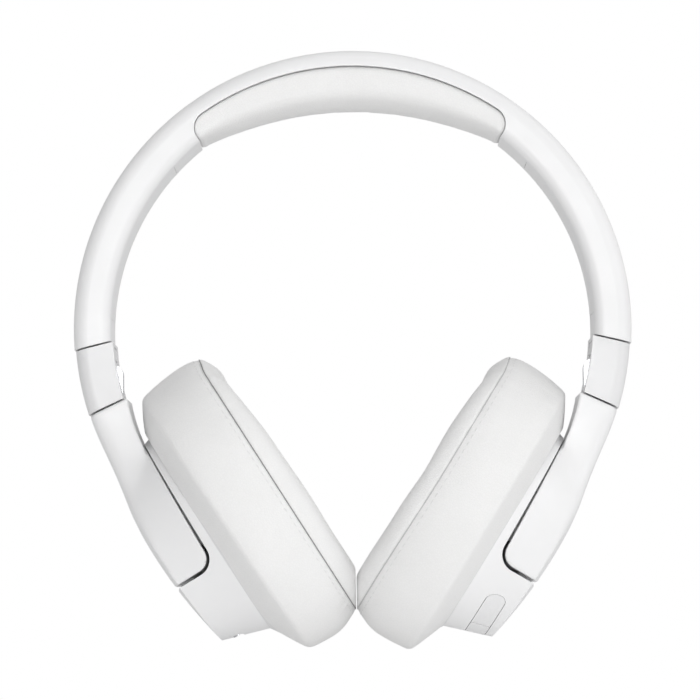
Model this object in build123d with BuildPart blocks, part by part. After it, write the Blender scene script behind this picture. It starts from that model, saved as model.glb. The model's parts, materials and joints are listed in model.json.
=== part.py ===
from build123d import *
import math
import os

# Folding over ear headphones. Millimetres. +Z up, X = 0 is the symmetry plane,
# Y = 0 is the middle of the band, -Y faces the front, Z = 0 is the lowest point of the pads.

# ---- driving dimensions: headband -------------------------------------------------
BAND_Z = 101.15           # height of the band's arc centre
BAND_R_OUT = 89.0         # outer radius of the band
BAND_R_IN = 77.1          # inner radius of the band
BAND_WIDTH = 29.0         # band width, front to back
BAND_END = -2.4           # angle of the band's end below horizontal, degrees
TOP_CUT_SKEW = 1.5        # the cuts on either side of the hinge drop outward by these angles
LOW_CUT_SKEW = 1.1
SEAM_R = 83.8             # seam between shell and cushion
CUSHION_HALF = 38.5       # cushion reaches this far from vertical, degrees
CUSHION_R_IN = 70.7       # underside of the cushion at its middle
CUSHION_WIDTH = 27.0
COVER_R = 78.1            # outer radius of the covers in the band's inner face
SPRING_R = 85.4           # inner radius of the spring strip
SPRING_THICK = 0.9
SPRING_WIDTH = 13.0

# ---- driving dimensions: size adjustment ------------------------------------------
SLIDE_LEAN = 8.5          # the slider runs this far off vertical, degrees
SLIDE_X = 80.5            # strip centre where it leaves the band
SLIDE_Z = 97.55
STRIP_THICK = 1.2
STRIP_WIDTH = 12.0
STRIP_REACH = 44.0        # strip length inside the band
TRAVEL = 25.0

# ---- driving dimensions: fold hinge ------------------------------------------------
HINGE_TOP = -2.7          # angles of the hinge segment, degrees
HINGE_BOTTOM = -16.45
HINGE_R_OUT = 88.6
HINGE_R_IN = 76.5
HINGE_WIDTH = 26.4
PIVOT_R = 78.6            # fold pin, from the band's arc centre
PIVOT_ANGLE = -10.0
TONGUE_R = 3.5
TONGUE_WIDTH = 8.0
FOLD_PIN_R = 1.5

# ---- driving dimensions: cup --------------------------------------------------------
CUP_X = 25.1              # middle of the pad face
CUP_Z = 51.45
CUP_TILT = 32.0           # the cup leans this far from vertical, degrees
NECK_A = 36.0             # half length of the neck behind the pad
NECK_B = 28.0             # half width of the neck
NECK_UP = -1.25           # neck centre along the cup
NECK_D = 26.4             # neck distance behind the pad's face plane
WALL_DRAFT = 0.335        # wall draft, mm inward per mm outward
BACK_R = 151.9            # radius of the cup's back
BACK_UP = 0.95
BACK_D = -106.84
PAD_FACE = 1.0
PAD_BACK = 22.0
PAD_A = 48.2              # half length of the pad at its widest
PAD_B = 39.8              # half width of the pad at its widest
EAR_A = 29.0              # half length of the ear opening
EAR_B = 20.0
TILT_UP = 2.0             # cup tilt pin, along the cup and outward
TILT_OUT = 35.0
TILT_PIN_R = 1.5

# ---- frames ---------------------------------------------------------------------------
lean = math.radians(CUP_TILT)
UP = (math.sin(lean), 0, math.cos(lean))
OUT = (math.cos(lean), 0, -math.sin(lean))
cup_plane = Plane(origin=(CUP_X, 0, CUP_Z), x_dir=UP, z_dir=OUT)
side_plane = Plane(origin=(CUP_X, 0, CUP_Z), x_dir=UP, z_dir=(0, 1, 0))
slide_lean = math.radians(SLIDE_LEAN)
SLIDE_DIR = (math.sin(slide_lean), 0, -math.cos(slide_lean))
slide_plane = Plane(origin=(SLIDE_X, 0, SLIDE_Z), x_dir=(0, 1, 0), z_dir=(-SLIDE_DIR[0], 0, -SLIDE_DIR[2]))


def polar(radius, degrees):
    """Point on the XZ sketch at an angle above horizontal, measured from the band's arc centre."""
    angle = math.radians(degrees)
    return (radius * math.cos(angle), BAND_Z + radius * math.sin(angle))


def cup_point(up, out, across=0.0):
    """World point from cup coordinates: along the cup, outward, and toward the front."""
    return (
        CUP_X + up * UP[0] + out * OUT[0],
        -across,
        CUP_Z + up * UP[2] + out * OUT[2],
    )


def ring_sector(r_in, r_out, start, end, width, y_mid=0.0, skew_start=0.0, skew_end=0.0):
    """Slice of a ring about the band's arc centre, in the XZ plane; a skew moves the outer arc's end by an angle."""
    with BuildPart() as sector:
        with BuildSketch(Plane.XZ.offset(-y_mid)):
            with BuildLine():
                inner = ThreePointArc(polar(r_in, start), polar(r_in, (start + end) / 2), polar(r_in, end))
                first = start + skew_start
                last = end + skew_end
                outer = ThreePointArc(polar(r_out, first), polar(r_out, (first + last) / 2), polar(r_out, last))
                Line(inner @ 0, outer @ 0)
                Line(inner @ 1, outer @ 1)
            make_face()
        extrude(amount=width / 2, both=True)
    return sector.part


def oval_plate(half_a, half_b, d_from, d_to, up=0.0):
    """Flat oval plate square to the cup axis."""
    with BuildPart() as plate:
        with BuildSketch(cup_plane.offset(d_from)):
            with Locations((up, 0)):
                Ellipse(half_a, half_b)
        extrude(amount=d_to - d_from)
    return plate.part


def oval_loft(first, second):
    """Loft between two ovals, each (half_a, half_b, up, d)."""
    with BuildPart() as body:
        for half_a, half_b, up, d in (first, second):
            with BuildSketch(cup_plane.offset(d)):
                with Locations((up, 0)):
                    Ellipse(half_a, half_b)
        loft()
    return body.part


def cup_disc(radius, d_from, d_to, up=0.0, across=0.0):
    """Round disc square to the cup axis."""
    with BuildPart() as disc:
        with BuildSketch(cup_plane.offset(d_from)):
            with Locations((up, across)):
                Circle(radius)
        extrude(amount=d_to - d_from)
    return disc.part


def cup_box(length, width, d_from, d_to, up=0.0, across=0.0):
    """Block square to the cup axis."""
    with BuildPart() as block:
        with BuildSketch(cup_plane.offset(d_from)):
            with Locations((up, across)):
                Rectangle(length, width)
        extrude(amount=d_to - d_from)
    return block.part


def side_prism(points, width, corner=0.0, corner_at=None):
    """Prism across the cup from a side outline of (up, out) points."""
    with BuildPart() as prism:
        with BuildSketch(side_plane) as outline:
            with BuildLine():
                Polyline(*points, close=True)
            make_face()
            if corner > 0:
                vertex = outline.vertices().sort_by_distance((*corner_at, 0))[0]
                fillet(vertex, corner)
        extrude(amount=width / 2, both=True)
    return prism.part


def pin_along_y(radius, length, x, z, y_mid=0.0):
    """Round pin parallel to Y."""
    with BuildPart() as pin:
        with BuildSketch(Plane.XZ.offset(-y_mid)):
            with Locations((x, z)):
                Circle(radius)
        extrude(amount=length / 2, both=True)
    return pin.part


def twin(piece):
    """The same piece for the other side of the head."""
    with BuildPart() as other:
        mirror(piece, about=Plane.YZ)
    return other


def back_sphere(inset):
    """Ball whose surface is the back of the cup, less an inset."""
    with BuildPart() as ball:
        with Locations(cup_point(BACK_UP, BACK_D)):
            Sphere(BACK_R - inset)
    return ball.part


def cup_envelope(inset):
    """Outer form of the housing and paddle together, drawn in by an inset."""
    top_d = 48.0
    draw = WALL_DRAFT * (top_d - NECK_D)
    with BuildPart() as form:
        add(
            oval_loft(
                (NECK_A - inset, NECK_B - inset, NECK_UP, NECK_D),
                (NECK_A - draw - inset, NECK_B - draw - inset, NECK_UP, top_d),
            )
        )
        add(back_sphere(inset), mode=Mode.INTERSECT)
    return form.part


parts = {}


def cushion_form(inset, width):
    """Cushion seen from the front: long arc with rounded upper corners."""
    edge = 90 - CUSHION_HALF + math.degrees(inset / SEAM_R)
    seam = SEAM_R - inset
    with BuildPart() as form:
        with BuildSketch(Plane.XZ) as outline:
            with BuildLine():
                top = ThreePointArc(polar(seam, edge), polar(seam, 90), polar(seam, 180 - edge))
                under = ThreePointArc(
                    polar(BAND_R_IN, edge), (0, BAND_Z + CUSHION_R_IN), polar(BAND_R_IN, 180 - edge)
                )
                Line(top @ 0, under @ 0)
                Line(top @ 1, under @ 1)
            make_face()
            corners = outline.vertices().filter_by(lambda v: math.hypot(v.X, v.Y - BAND_Z) > seam - 0.5)
            fillet(corners, 5.6 - inset)
        extrude(amount=width / 2, both=True)
    return form.part


# ---- slider channel, shared by the shell and the strip --------------------------------
with BuildPart() as channel:
    with BuildSketch(slide_plane.offset(-6)):
        Rectangle(STRIP_WIDTH + 0.5, STRIP_THICK + 0.5)
    extrude(amount=STRIP_REACH + 8)


def detent_block(grow):
    """Leaf that presses on the outer side of the strip."""
    with BuildPart() as leaf:
        with BuildSketch(slide_plane.offset(12 - grow)):
            with Locations((0, -1.4)):
                Rectangle(6 + 2 * grow, 0.9 + 2 * grow)
        extrude(amount=8 + 2 * grow)
    return leaf.part


# ---- headband shell ----------------------------------------------------------------------
with BuildPart() as headband_shell:
    add(
        ring_sector(
            BAND_R_IN, BAND_R_OUT, BAND_END, 180 - BAND_END, BAND_WIDTH,
            skew_start=-TOP_CUT_SKEW, skew_end=TOP_CUT_SKEW,
        )
    )
    long_edges = headband_shell.edges().filter_by(lambda e: e.length > 150)
    fillet(long_edges.sort_by(lambda e: e.length)[-2:], 4.6)
    long_edges = headband_shell.edges().filter_by(lambda e: e.length > 150)
    fillet(long_edges.sort_by(lambda e: e.length)[:2], 3.4)
    add(cushion_form(0, 40), mode=Mode.SUBTRACT)
    add(ring_sector(60, BAND_R_IN + 0.6, 90 - CUSHION_HALF, 90 + CUSHION_HALF, 40), mode=Mode.SUBTRACT)
    add(ring_sector(80, SPRING_R + SPRING_THICK + 0.1, 53, 127, SPRING_WIDTH + 0.3), mode=Mode.SUBTRACT)
    add(ring_sector(80, 86.3, 53, 127, 2.0, 9.0), mode=Mode.SUBTRACT)
    add(channel.part, mode=Mode.SUBTRACT)
    add(mirror(channel.part, about=Plane.YZ, mode=Mode.PRIVATE), mode=Mode.SUBTRACT)
    add(detent_block(0.05), mode=Mode.SUBTRACT)
    add(mirror(detent_block(0.05), about=Plane.YZ, mode=Mode.PRIVATE), mode=Mode.SUBTRACT)
    for side in (0, 1):
        start = 3.0 if side == 0 else 180 - 43.0
        add(ring_sector(70, COVER_R + 0.2, start, start + 40, 18), mode=Mode.SUBTRACT)
parts["headband_shell"] = headband_shell

with BuildPart() as headband_cover_right:
    add(ring_sector(BAND_R_IN, COVER_R, 3.1, 42.9, 17.8))
parts["headband_cover_right"] = headband_cover_right
parts["headband_cover_left"] = twin(headband_cover_right.part)

with BuildPart() as slider_detent_right:
    add(detent_block(0))
parts["slider_detent_right"] = slider_detent_right
parts["slider_detent_left"] = twin(slider_detent_right.part)

with BuildPart() as headband_spring:
    add(ring_sector(SPRING_R, SPRING_R + SPRING_THICK, 53.3, 126.7, SPRING_WIDTH))
parts["headband_spring"] = headband_spring

with BuildPart() as crossover_cable:
    with BuildSketch(Plane(origin=(*polar(85.2, 53.5)[:1], 9.0, polar(85.2, 53.5)[1]), x_dir=(0, 1, 0),
                           z_dir=(-math.sin(math.radians(53.5)), 0, math.cos(math.radians(53.5))))):
        Circle(0.8)
    revolve(axis=Axis((0, 0, BAND_Z), (0, -1, 0)), revolution_arc=73)
parts["crossover_cable"] = crossover_cable

# ---- cushion under the crown ----------------------------------------------------------------
with BuildPart() as headband_cushion:
    add(cushion_form(0.16, CUSHION_WIDTH))
    fillet(headband_cushion.edges().filter_by(lambda e: e.length > 90).sort_by(Axis.Z)[:2], 4.0)
parts["headband_cushion"] = headband_cushion

# ---- size adjustment ----------------------------------------------------------------------------
with BuildPart() as slider_strip_right:
    with BuildSketch(slide_plane.offset(-7.2)):
        Rectangle(STRIP_WIDTH, STRIP_THICK)
    extrude(amount=STRIP_REACH + 7.2)
parts["slider_strip_right"] = slider_strip_right
parts["slider_strip_left"] = twin(slider_strip_right.part)

pivot_x, pivot_z = polar(PIVOT_R, PIVOT_ANGLE)

# ---- hinge segment ---------------------------------------------------------------------------------
with BuildPart() as strip_socket:
    with BuildSketch(slide_plane.offset(-7.4)):
        Rectangle(STRIP_WIDTH + 0.1, STRIP_THICK + 0.1)
    extrude(amount=20)

with BuildPart() as tongue_slot:
    with BuildSketch(Plane.XZ):
        with Locations((pivot_x, pivot_z)):
            Circle(TONGUE_R + 0.5)
        with BuildLine():
            Polyline(
                (pivot_x + TONGUE_R + 0.5, pivot_z),
                (pivot_x + TONGUE_R + 0.5, pivot_z - 16),
                (pivot_x - 14, pivot_z - 16),
                (pivot_x - 14, pivot_z + TONGUE_R + 0.5),
                (pivot_x, pivot_z + TONGUE_R + 0.5),
                close=True,
            )
        make_face()
    extrude(amount=TONGUE_WIDTH / 2 + 0.2, both=True)

with BuildPart() as hinge_housing_right:
    add(
        ring_sector(
            HINGE_R_IN, HINGE_R_OUT, HINGE_BOTTOM, HINGE_TOP, HINGE_WIDTH,
            skew_start=-LOW_CUT_SKEW, skew_end=-TOP_CUT_SKEW,
        )
    )
    rim = hinge_housing_right.edges().filter_by(lambda e: e.length > 17).sort_by(lambda e: e.length)
    fillet(rim.filter_by(lambda e: e.length < 24)[-2:], 4.2)
    add(strip_socket.part, mode=Mode.SUBTRACT)
    add(tongue_slot.part, mode=Mode.SUBTRACT)
    add(pin_along_y(FOLD_PIN_R, 22, pivot_x, pivot_z), mode=Mode.SUBTRACT)
    add(ring_sector(74, HINGE_R_IN + 0.9, -7.4, -3.6, 15), mode=Mode.SUBTRACT)
parts["hinge_housing_right"] = hinge_housing_right
parts["hinge_housing_left"] = twin(hinge_housing_right.part)

with BuildPart() as hinge_cover_right:
    add(ring_sector(HINGE_R_IN + 0.2, HINGE_R_IN + 0.85, -6.6, -3.7, 14.8))
    add(tongue_slot.part, mode=Mode.SUBTRACT)
parts["hinge_cover_right"] = hinge_cover_right
parts["hinge_cover_left"] = twin(hinge_cover_right.part)

with BuildPart() as fold_pin_right:
    add(pin_along_y(FOLD_PIN_R, 22, pivot_x, pivot_z))
parts["fold_pin_right"] = fold_pin_right
parts["fold_pin_left"] = twin(fold_pin_right.part)

# ---- arm: strap that widens into the paddle over the cup's back ---------------------------------------
ARM_TOP = -16.75
ARM_R_OUT = 88.4
ARM_R_IN = 75.2
STRAP_HALF = 13.3
PADDLE_LINE = [(60, 28.2), (33, 28.70), (-10.6, 30.45), (-10.3, 46), (-10.3, 60), (60, 60)]
HOUSING_LINE = [(60, 27.9), (33, 28.40), (-11.9, 29.40), (-11.3, 46), (-11.3, 60), (60, 60)]
NOTCH = [(-10.8, 42.4), (-9.3, 46.5), (-12.9, 46.5)]
LIP = [(-12.6, 38.0), (-12.6, 42.9), (-9.0, 42.9), (-9.0, 38.0)]
LIP_POCKET = [(-13.6, 36.7), (-13.6, 43.3), (-9.0, 43.3), (-9.0, 36.7)]

with BuildPart() as paddle_zone:
    add(side_prism(PADDLE_LINE, 90, 4.6, (-10.6, 30.45)))
    add(side_prism(NOTCH, 90), mode=Mode.SUBTRACT)
with BuildPart() as housing_cut:
    add(side_prism(HOUSING_LINE, 90, 5.8, (-11.9, 29.40)))
    add(side_prism(NOTCH, 90))
    add(side_prism(LIP_POCKET, 21))

# block of the housing that rises inside the hollow paddle
ISLAND_TOP = 39.3
with BuildPart() as island:
    add(oval_loft((26.2, 18.8, 5.0, NECK_D), (21.5, 15.0, 5.0, ISLAND_TOP)))
    add(side_prism([(-3.6, 24), (-3.6, 50), (40, 50), (40, 24)], 60), mode=Mode.INTERSECT)
with BuildPart() as island_room:
    add(oval_loft((28.6, 21.1, 5.0, 24.0), (23.0, 16.5, 5.0, ISLAND_TOP + 1.0)))
    add(side_prism([(-5.0, 24), (-5.0, 50), (42, 50), (42, 24)], 60), mode=Mode.INTERSECT)

tilt_x, _, tilt_z = cup_point(TILT_UP, TILT_OUT)

# metal bracket: tongue for the fold pin, blade through the strap, lug for the tilt pin


def bracket_outline(grow, half_width):
    """Bracket side outline, optionally grown all round."""
    with BuildPart() as blade:
        with BuildSketch(Plane.XZ) as outline:
            with BuildLine():
                Polyline(
                    (pivot_x - TONGUE_R, pivot_z),
                    (pivot_x - TONGUE_R, pivot_z - 11),
                    (73.2, 66.0),
                    cup_point(27.5, 39.75)[::2],
                    cup_point(7.5, 40.4)[::2],
                    cup_point(TILT_UP + TONGUE_R, TILT_OUT)[::2],
                    cup_point(TILT_UP - TONGUE_R, TILT_OUT)[::2],
                    cup_point(3.5, 41.4)[::2],
                    cup_point(28.0, 40.75)[::2],
                    (76.4, 66.0),
                    (pivot_x + TONGUE_R, pivot_z - 9),
                    (pivot_x + TONGUE_R, pivot_z),
                    close=True,
                )
            make_face()
            with Locations((pivot_x, pivot_z), (tilt_x, tilt_z)):
                Circle(TONGUE_R)
            if grow > 0:
                offset(amount=grow, kind=Kind.INTERSECTION)
        extrude(amount=half_width, both=True)
    return blade.part


with BuildPart() as arm_bracket_right:
    add(bracket_outline(0, TONGUE_WIDTH / 2))
    add(pin_along_y(FOLD_PIN_R + 0.04, 30, pivot_x, pivot_z), mode=Mode.SUBTRACT)
    add(pin_along_y(TILT_PIN_R + 0.04, 30, tilt_x, tilt_z), mode=Mode.SUBTRACT)
parts["arm_bracket_right"] = arm_bracket_right
parts["arm_bracket_left"] = twin(arm_bracket_right.part)

STRAP_BEND = (72.6, 46.5)
strap_low_out = cup_point(16, 43.85)
trim_end = cup_point(9, 44.84)
strap_low_in = cup_point(16, 33.0)
with BuildPart() as strap:
    with BuildSketch(Plane.XZ):
        with BuildLine():
            outer_top = ThreePointArc(
                polar(ARM_R_OUT, ARM_TOP - LOW_CUT_SKEW), polar(ARM_R_OUT, -21.1), polar(ARM_R_OUT, -24.4)
            )
            outer_low = Spline(outer_top @ 1, STRAP_BEND, strap_low_out[::2])
            Line(outer_low @ 1, strap_low_in[::2])
            Line(strap_low_in[::2], cup_point(33.4, 28.8)[::2])
            inner_top = Spline(
                polar(ARM_R_IN, ARM_TOP), (70.4, 72.7), cup_point(33.4, 28.8)[::2]
            )
            Line(inner_top @ 0, outer_top @ 0)
        make_face()
    extrude(amount=30, both=True)
    with BuildSketch(Plane.YZ) as strap_front:
        with BuildLine():
            Polyline((STRAP_HALF, 90), (-STRAP_HALF, 90))
            left_flare = Spline(
                (-STRAP_HALF, 64), (-14.3, 56), (-16.2, 49), (-18.0, 42), (-18.4, 36),
                tangents=((0, -1), (-0.05, -1)),
            )
            right_flare = Spline(
                (STRAP_HALF, 64), (14.3, 56), (16.2, 49), (18.0, 42), (18.4, 36),
                tangents=((0, -1), (0.05, -1)),
            )
            Line((-STRAP_HALF, 90), left_flare @ 0)
            Line((STRAP_HALF, 90), right_flare @ 0)
            Line(left_flare @ 1, right_flare @ 1)
        make_face()
    extrude(amount=120, mode=Mode.INTERSECT)
    outers = strap.edges().filter_by(lambda e: e.length > 12 and abs(e.center().Y) > 12)
    outers = outers.sort_by(lambda e: e.center().X - 0.6 * e.center().Z)
    fillet(outers[-4:], 3.4)

# everything outside the strap's outer line, so that the domed paddle runs into the strap
with BuildPart() as back_trim:
    with BuildSketch(Plane.XZ):
        with BuildLine():
            trim_top = polar(ARM_R_OUT, -24.4)
            trim_line = Spline(trim_top, STRAP_BEND, strap_low_out[::2])
            Polyline(trim_line @ 1, trim_end[::2], (120, trim_end[2] - 40), (120, 90), trim_top)
        make_face()
    extrude(amount=45, both=True)

with BuildPart() as arm_shell_right:
    add(cup_envelope(0))
    add(paddle_zone.part, mode=Mode.INTERSECT)
    add(back_trim.part, mode=Mode.SUBTRACT)
    add(strap.part)
    add(side_prism(LIP, 20))
    add(island_room.part, mode=Mode.SUBTRACT)
    add(bracket_outline(0.12, TONGUE_WIDTH / 2 + 0.12), mode=Mode.SUBTRACT)
parts["arm_shell_right"] = arm_shell_right
parts["arm_shell_left"] = twin(arm_shell_right.part)

with BuildPart() as tilt_pin_right:
    add(pin_along_y(TILT_PIN_R, 19, tilt_x, tilt_z))
parts["tilt_pin_right"] = tilt_pin_right
parts["tilt_pin_left"] = twin(tilt_pin_right.part)

# ---- screws that close the cup from the ear side ----
BAFFLE_D = 23.45
DRIVER_R = 20.0
SCREW_SPOTS = [(-22.5, 20.0), (-22.5, -20.0), (20.5, 20.0), (20.5, -20.0)]


def screw_set(grow):
    """Four small screws from the ear side into the housing."""
    with BuildPart() as screws:
        for up, across in SCREW_SPOTS:
            add(cup_disc(0.9 + grow, 24.4, 27.9 + grow, up, across))
            add(cup_disc(1.4 + grow, BAFFLE_D - grow, 24.5 + grow, up, across))
    return screws.part


# ---- cup housing -------------------------------------------------------------------------------------
with BuildPart() as lower_cavity:
    add(cup_envelope(4.6))
    add(side_prism([(-14.5, 20), (-14.5, 40.5), (-60, 40.5), (-60, 20)], 90), mode=Mode.INTERSECT)

with BuildPart() as housing_blank:
    add(cup_envelope(0))
    add(housing_cut.part, mode=Mode.SUBTRACT)
    add(island.part)
    add(oval_plate(33.0, 25.0, NECK_D - 4, NECK_D + 0.6, NECK_UP), mode=Mode.SUBTRACT)
    add(cup_disc(16.5, NECK_D - 4, 28.2), mode=Mode.SUBTRACT)
    add(lower_cavity.part, mode=Mode.SUBTRACT)
    add(cup_box(12.5, 21, NECK_D - 4, 37.4, 14.0), mode=Mode.SUBTRACT)
    add(cup_box(11.2, TONGUE_WIDTH + 0.6, 30.6, 50, 2.4), mode=Mode.SUBTRACT)
    add(pin_along_y(TILT_PIN_R, 19, tilt_x, tilt_z), mode=Mode.SUBTRACT)
    add(screw_set(0.03), mode=Mode.SUBTRACT)

# ---- keys on the lower wall of the right cup ---------------------------------------------------------
KEY_D = 36.0
KEY_WIDTH = 6.0
KEY_DEPTH = 2.0
KEY_TRAVEL = 0.4


def wall_plane(angle):
    """Frame on the housing wall, seen from the cup's axis; 0 is the lowest point, + toward the front."""
    turn = math.radians(angle)
    draw = WALL_DRAFT * (KEY_D - NECK_D)
    half_a = NECK_A - draw
    half_b = NECK_B - draw
    up = NECK_UP - half_a * math.cos(turn)
    across = half_b * math.sin(turn)
    normal_up = -math.cos(turn) / half_a
    normal_across = math.sin(turn) / half_b
    size = math.hypot(normal_up, normal_across)
    normal_up /= size
    normal_across /= size
    normal = (normal_up * UP[0], -normal_across, normal_up * UP[2])
    return Plane(origin=cup_point(up, KEY_D, across), x_dir=OUT, z_dir=normal)


def wall_block(angle, length, width, sink, rise, round_front=False, round_rear=False, grow=0.0):
    """Upright block through the wall; width runs along the cup axis."""
    with BuildPart() as block:
        with BuildSketch(wall_plane(angle).offset(rise)) as face:
            Rectangle(width + 2 * grow, length + 2 * grow)
            ends = face.vertices().sort_by(Axis.Y)
            if round_front:
                fillet(ends[-2:], (width + 2 * grow) / 2 - 0.3)
            if round_rear:
                fillet(ends[:2], (width + 2 * grow) / 2 - 0.3)
        extrude(amount=-(rise + sink))
    return block.part



def wall_wedge(start, end, width, sink, rise, grow=0.0):
    """Piece of the wall between two angles; its ends are square to the wall."""
    mids = [start + (end - start) * i / 4 for i in range(5)]
    above = []
    below = []
    for i, angle in enumerate(mids):
        frame = wall_plane(angle)
        along = (-grow if i == 0 else grow) if i in (0, 4) else 0
        tangent = frame.y_dir * along * FRONTWARD
        above.append(frame.origin + frame.z_dir * rise + tangent)
        below.append(frame.origin - frame.z_dir * sink + tangent)
    outline = [cup_plane.to_local_coords(p) for p in above + below[::-1]]
    with BuildPart() as wedge:
        with BuildSketch(cup_plane.offset(KEY_D - width / 2 - grow)):
            with BuildLine():
                Polyline(*[(p.X, p.Y) for p in outline], close=True)
            make_face()
        extrude(amount=width + 2 * grow)
    return wedge.part


FRONTWARD = 1 if wall_plane(0).y_dir.Y < 0 else -1

# name: start angle, end angle, rounded end block (angle, length) or None
KEYS = {
    "volume_up_key": (25.3, 62.0, (39.0, 15.8, True, False)),
    "play_key": (0.3, 24.7, None),
    "volume_down_key": (-24.7, -0.3, None),
    "noise_control_key": (-50.0, -25.3, (-34.0, 11.4, False, True)),
}


def key_form(start, end, rounding, sink, grow):
    """Key, or with some growth the pocket it moves in."""
    with BuildPart() as form:
        add(wall_wedge(start, end, KEY_WIDTH, sink, 4, grow))
        if rounding:
            angle, length, round_front, round_rear = rounding
            add(
                wall_block(angle, length, KEY_WIDTH, 8, 6, round_front, round_rear, grow),
                mode=Mode.INTERSECT,
            )
    return form.part


for key_name, (start, end, rounding) in KEYS.items():
    with BuildPart() as key:
        add(key_form(start, end, rounding, KEY_DEPTH, 0))
        add(cup_envelope(0), mode=Mode.INTERSECT)
    parts[key_name] = key

SWITCH_ANGLE = -58.0
switch_plane = wall_plane(SWITCH_ANGLE)
with BuildPart() as power_switch:
    with BuildSketch(switch_plane.offset(-1.5)):
        with Locations((0, -1.2)):
            Rectangle(3.0, 3.8)
    extrude(amount=2.2)
    fillet(power_switch.faces().sort_by(Axis(switch_plane.origin, switch_plane.z_dir))[-1].edges(), 0.4)
parts["power_switch"] = power_switch

# ---- sockets, light and microphones in the housing walls -------------------------------------------------
AUX_ANGLE = -34.0
AUX_BORE_R = 1.8
AUX_BARREL_R = 3.0
AUX_DEPTH = 14.0
USB_WIDTH = 8.94
USB_HEIGHT = 3.26
USB_DEPTH = 7.3
USB_ANGLE = 0.0


def wall_rod(angle, radius, sink, rise):
    """Round rod square to the housing wall."""
    with BuildPart() as rod:
        with BuildSketch(wall_plane(angle).offset(rise)):
            Circle(radius)
        extrude(amount=-(rise + sink))
    return rod.part


def usb_block(width, height, sink, rise):
    """Rounded bar with the outline of a USB-C receptacle."""
    with BuildPart() as bar:
        with BuildSketch(wall_plane(USB_ANGLE).offset(rise)):
            RectangleRounded(height, width, height / 2 - 0.05)
        extrude(amount=-(rise + sink))
    return bar.part


with BuildPart() as aux_jack:
    add(wall_rod(AUX_ANGLE, AUX_BARREL_R, AUX_DEPTH + 1.5, 4))
    add(cup_envelope(0.05), mode=Mode.INTERSECT)
    add(wall_rod(AUX_ANGLE, AUX_BORE_R, AUX_DEPTH, 4), mode=Mode.SUBTRACT)

with BuildPart() as usb_c_socket:
    add(usb_block(USB_WIDTH, USB_HEIGHT, USB_DEPTH, -0.4))
    add(usb_block(USB_WIDTH - 0.6, USB_HEIGHT - 0.6, USB_DEPTH - 1.0, 2), mode=Mode.SUBTRACT)
    with BuildSketch(wall_plane(USB_ANGLE).offset(-USB_DEPTH + 0.5)):
        Rectangle(0.7, 6.7)
    extrude(amount=USB_DEPTH - 2.0)

with BuildPart() as status_light:
    add(wall_rod(-70, 0.9, 2.0, 4))
    add(cup_envelope(0), mode=Mode.INTERSECT)
parts["status_light"] = status_light

with BuildPart() as microphones:
    for mic_angle in (-56, -66):
        add(wall_rod(mic_angle, 0.8, 2.4, -0.5))

# ---- right and left housings ---------------------------------------------------------------------------------
with BuildPart() as cup_housing_right:
    add(housing_blank.part)
    for start, end, rounding in KEYS.values():
        add(key_form(start, end, rounding, KEY_DEPTH + KEY_TRAVEL + 0.15, 0.16), mode=Mode.SUBTRACT)
    with BuildSketch(switch_plane.offset(-1.7)):
        Rectangle(3.2, 6.6)
    extrude(amount=6, mode=Mode.SUBTRACT)
    add(wall_rod(-70, 0.95, 2.1, 4), mode=Mode.SUBTRACT)
parts["cup_housing_right"] = cup_housing_right

with BuildPart() as left_blank:
    add(housing_blank.part)
    add(wall_rod(AUX_ANGLE, AUX_BARREL_R + 0.02, AUX_DEPTH + 1.6, 4), mode=Mode.SUBTRACT)
    add(usb_block(USB_WIDTH + 0.04, USB_HEIGHT + 0.04, USB_DEPTH + 0.1, 4), mode=Mode.SUBTRACT)
    for mic_angle in (-56, -66):
        add(wall_rod(mic_angle, 0.85, 2.5, 4), mode=Mode.SUBTRACT)

# ---- baffle, driver and pad -------------------------------------------------------------------------------------
with BuildPart() as baffle_right:
    add(oval_loft((40.9, 32.85, -1.0, BAFFLE_D), (NECK_A, NECK_B, NECK_UP, NECK_D)))
    add(cup_disc(DRIVER_R + 0.02, 20, 30), mode=Mode.SUBTRACT)
    add(screw_set(0.03), mode=Mode.SUBTRACT)
parts["baffle_right"] = baffle_right

with BuildPart() as driver_frame_right:
    add(cup_disc(DRIVER_R, BAFFLE_D + 0.05, NECK_D - 0.05))
    add(cup_disc(DRIVER_R - 3.5, 20, NECK_D - 1.2), mode=Mode.SUBTRACT)
parts["driver_frame_right"] = driver_frame_right

with BuildPart() as driver_diaphragm_right:
    add(cup_disc(DRIVER_R - 3.6, 24.0, 24.5))
parts["driver_diaphragm_right"] = driver_diaphragm_right

with BuildPart() as driver_magnet_right:
    add(cup_disc(12.0, NECK_D - 0.05, 27.9))
parts["driver_magnet_right"] = driver_magnet_right

with BuildPart() as pad_ring_right:
    add(oval_loft((43.2, 34.9, -0.9, PAD_BACK + 0.05), (41.0, 32.95, -0.98, BAFFLE_D - 0.05)))
    add(oval_plate(EAR_A - 2, EAR_B - 2, 20, 30), mode=Mode.SUBTRACT)
parts["pad_ring_right"] = pad_ring_right

with BuildPart() as pad_mesh_right:
    add(oval_plate(EAR_A - 0.3, EAR_B - 0.3, PAD_BACK - 0.6, PAD_BACK))
parts["pad_mesh_right"] = pad_mesh_right

with BuildPart() as ear_pad_right:
    add(oval_loft((46.8, 38.3, 0.85, PAD_FACE), (PAD_A, PAD_B, -0.6, 19.0)))
    add(oval_loft((PAD_A, PAD_B, -0.6, 19.0), (PAD_A - 4.8, PAD_B - 4.8, -0.9, PAD_BACK)))
    front = ear_pad_right.faces().sort_by(Axis(cup_plane.origin, cup_plane.z_dir))[0]
    fillet(front.edges(), 8.0)
    add(oval_plate(EAR_A, EAR_B, -5, 30), mode=Mode.SUBTRACT)
parts["ear_pad_right"] = ear_pad_right

with BuildPart() as cup_screws_right:
    add(screw_set(0))
parts["cup_screws_right"] = cup_screws_right

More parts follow.
